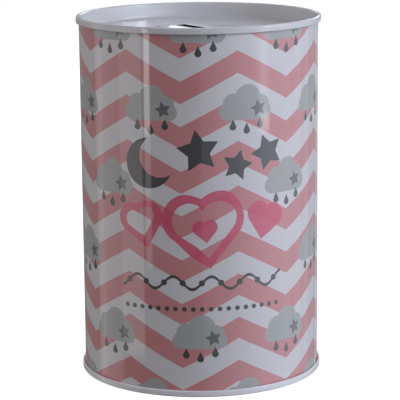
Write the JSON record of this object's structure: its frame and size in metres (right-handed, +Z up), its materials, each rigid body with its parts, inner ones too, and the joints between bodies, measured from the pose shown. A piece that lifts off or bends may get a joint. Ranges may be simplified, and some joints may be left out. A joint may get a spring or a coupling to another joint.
{
  "type": "tin money box",
  "caption": "Round tinplate money box with double-seamed ends, a sunk top with a coin slot and a push-in base stopper.",
  "frame": {"origin": "on the tin's axis, level with the lowest face of the base seam, which the tin stands on", "axes": "+Z up along the axis of the tin; +Y along the coin slot; the middle of the front of the print faces 34 degrees from -Y towards -X, and the lap of the body is opposite it"},
  "size_m": [0.1018, 0.1018, 0.15],
  "materials": {
    "printed_body": "glossy varnished print in pink, white and grey on tinplate",
    "top_end": "plain glossy white lacquer on tinplate",
    "base_end": "plain glossy white lacquer on tinplate",
    "sealing_compound": "matte cured lining compound",
    "base_stopper": "soft white polyethylene"
  },
  "bodies": {
    "tin": {"printed_body": "printed_body", "top_end": "top_end", "base_end": "base_end", "top_sealing_ring": "sealing_compound", "base_sealing_ring": "sealing_compound"},
    "stopper": {"base_stopper": "base_stopper"}
  },
  "joints": [
    {"name": "stopper_pull", "type": "slide", "parent": "tin", "child": "stopper", "axis": [0, 0, -1], "range_m": [0, 0.012]}
  ]
}
